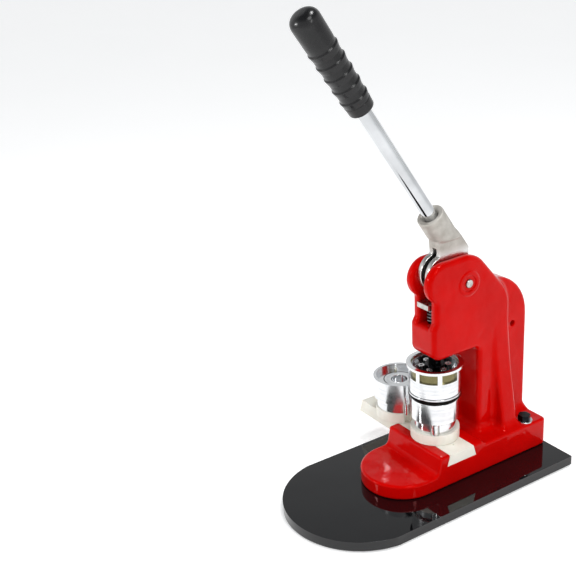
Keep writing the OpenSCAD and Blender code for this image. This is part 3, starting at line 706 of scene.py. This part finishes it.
# %% Every machined piece
# each CAD piece: how wide its broken edge is in mm, and its finish
machined = {
    "base_board": (0.6, board_gloss), "tray_slide": (0.7, nylon),
    "die_a_base": (0.4, parked_metal), "die_a_core": (0.4, parked_metal),
    "die_a_sleeve": (0.5, parked_metal),
    "die_b_base": (0.4, die_metal), "die_b_core": (0.4, die_metal), "die_b_sleeve": (0.5, die_metal),
    "upper_die_body": (0.35, die_metal), "upper_die_flange": (0.5, flange_metal),
    "upper_die_liner": (0.2, brass), "upper_die_punch": (0.4, die_metal),
    "die_holder": (0.4, black_oxide), "holder_screws": (0.7, zinc), "rear_bolts": (0.5, black_oxide),
    "rear_washers": (0.3, zinc), "board_nuts": (0.4, zinc), "front_screw": (0.4, zinc),
    "ram_shaft": (0.4, black_oxide), "ram_shoe": (0.6, bright_steel), "pivot_pin": (0.5, bright_steel),
    "pivot_spacer": (0.3, bright_steel), "lever_rod": (0.6, chrome), "rod_set_screw": (0.2, black_oxide),
    "tray_stop_screw": (0.3, bright_steel), "die_a_screw": (0.3, zinc), "die_b_screw": (0.3, zinc)}
for node, (width, material) in machined.items():
    softened(node, width, material)
# the rubber mat keeps its CAD mesh and only gets its finish
mat_mesh = frame["nodes"]["rubber_mat"].data
mat_mesh.materials.clear()
mat_mesh.materials.append(mat_rubber)
print(len(machined), "machined pieces have broken edges")

# %% [markdown]
# ## The springs
# A spring gets shorter as the lever comes down: its foot stays and its top follows the piece on
# it. Here each spring is a copy of its CAD piece in drawn wire that rides on that piece's body,
# listed with the slide that rests on it, and it keeps its length.

# %% The springs, each with the slide that rests on it
pushed_by = {
    "ram_spring": "ram_slide", "die_a_spring": "sleeve_a_slide", "die_b_spring": "sleeve_b_slide"}
for node, slide in pushed_by.items():
    low_corner, high_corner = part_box(node)
    coil = new_object(node + "_wound", frame["nodes"][node].data.copy())
    place_piece(coil, node, spring_wire)
    foot = axis_of(node)[:2] + [low_corner[2]]
    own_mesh(coil)

# %% [markdown]
# ## The studio
# The press stands on a wide sheet of white paper that glows a little, so that it reads as white
# paper lit from all round. A broad soft key light comes from the right and slightly in front.
# Three small bright lamps, overhead, in front on the left and on the right, only give glints.
# Chrome and turned metal show whatever is round them, so the room is bright near the horizon
# and darker overhead: the dark part gives polished metal its contrast.

# %% The floor
scene = bpy.context.scene
floor_mesh = bpy.data.meshes.new("floor")
reach = 14
floor_corners = [(-reach, -reach, 0), (reach, -reach, 0), (reach, reach, 0), (-reach, reach, 0)]
floor_mesh.from_pydata(floor_corners, [], [(0, 1, 2, 3)])
floor = new_object("floor", floor_mesh)
paper, tree, shader, place = finish("White paper roll", {
    "Roughness": 0.9, "Emission Color": linear("#ffffff"), "Emission Strength": 0.32})
cloud = add(tree, "TexNoise", {"Vector": place, "Scale": spots(300), "Detail": 2})
colour = add(tree, "Mix", {"data_type": "RGBA", 0: cloud, 6: "#fcfcfc", 7: "#f8f8f8"}, 2)
tree.links.new(colour, shader.inputs["Base Color"])
floor_mesh.materials.append(paper)
print("the floor is", 2 * reach, "m wide")

# %% The room
world = bpy.data.worlds.new("Room")
scene.world = world
world.use_nodes = True
tree = world.node_tree
direction = add(tree, "TexCoord", {}, "Generated")
height = add(tree, "SeparateXYZ", {"Vector": direction}, "Z")
overhead = add(tree, "MapRange", {"Value": height, "From Min": 0.42, "From Max": 0.75})
colour = add(tree, "Mix", {"data_type": "RGBA", 0: overhead, 6: "#f0f1f2", 7: "#6f7376"}, 2)
background = tree.nodes["Background"]
tree.links.new(colour, background.inputs["Color"])
background.inputs["Strength"].default_value = 0.95
print("made", world.name)

# %% The lights
def hang(name, lamp, at, towards):
    """Puts a lamp at a place and turns it to shine along a direction."""
    holder = new_object(name, lamp)
    holder.location = at
    holder.rotation_euler = Vector(towards).to_track_quat("-Z", "Y").to_euler()


def soft_light(name, at, aim, size, power):
    """A lamp with a shining rectangle, size in metres and power in watts."""
    lamp = bpy.data.lights.new(name, "AREA")
    lamp.shape = "RECTANGLE"
    lamp.size, lamp.size_y = size
    lamp.energy = power
    hang(name, lamp, at, Vector(aim) - Vector(at))
    print(name, "at", at, "with", power, "W")


middle = (0, 0.03, 0.2)
soft_light("overhead", (0.1, 0.2, 1.7), middle, (0.3, 0.3), 9)
soft_light("left side", (-0.6, -1.4, 0.8), middle, (0.1, 0.35), 8)
soft_light("right side", (1.6, -0.1, 1.1), middle, (0.1, 0.35), 5)

key = bpy.data.lights.new("key", "SUN")
key.energy = 0.8
key.angle = math.radians(25)
hang("key", key, (0, 0, 0), (-0.62, 0.17, -0.77))
print("the key is", round(math.degrees(key.angle)), "degrees across")

# %% [markdown]
# ## The camera
# A long lens from the operator's right, a little above the head. Its place is worked out from
# the point it looks at, how far off it stands, its compass angle, its height angle and its
# small roll.

# %% Camera
look_at = Vector((-0.1101, -0.0853, 0.2274))
distance = 1.155
compass, height, roll = (math.radians(a) for a in (58.29, 22.49, 3.48))
level = Vector((math.sin(compass), -math.cos(compass), 0))
back = level * math.cos(height) + Vector((0, 0, math.sin(height)))
right = Vector((math.cos(compass), math.sin(compass), 0))
up = back.cross(right)
turned_right = right * math.cos(roll) - up * math.sin(roll)
turned_up = right * math.sin(roll) + up * math.cos(roll)
lens = bpy.data.cameras.new("camera")
lens.sensor_width = 36
lens.lens = 65.625
camera = new_object("camera", lens)
spot = look_at + back * distance
camera.matrix_world = Matrix((
    (turned_right.x, turned_up.x, back.x, spot.x), (turned_right.y, turned_up.y, back.y, spot.y),
    (turned_right.z, turned_up.z, back.z, spot.z), (0, 0, 0, 1)))
scene.camera = camera
scene.view_settings.view_transform = "Standard"
print("the camera stands at", [round(v, 3) for v in spot])
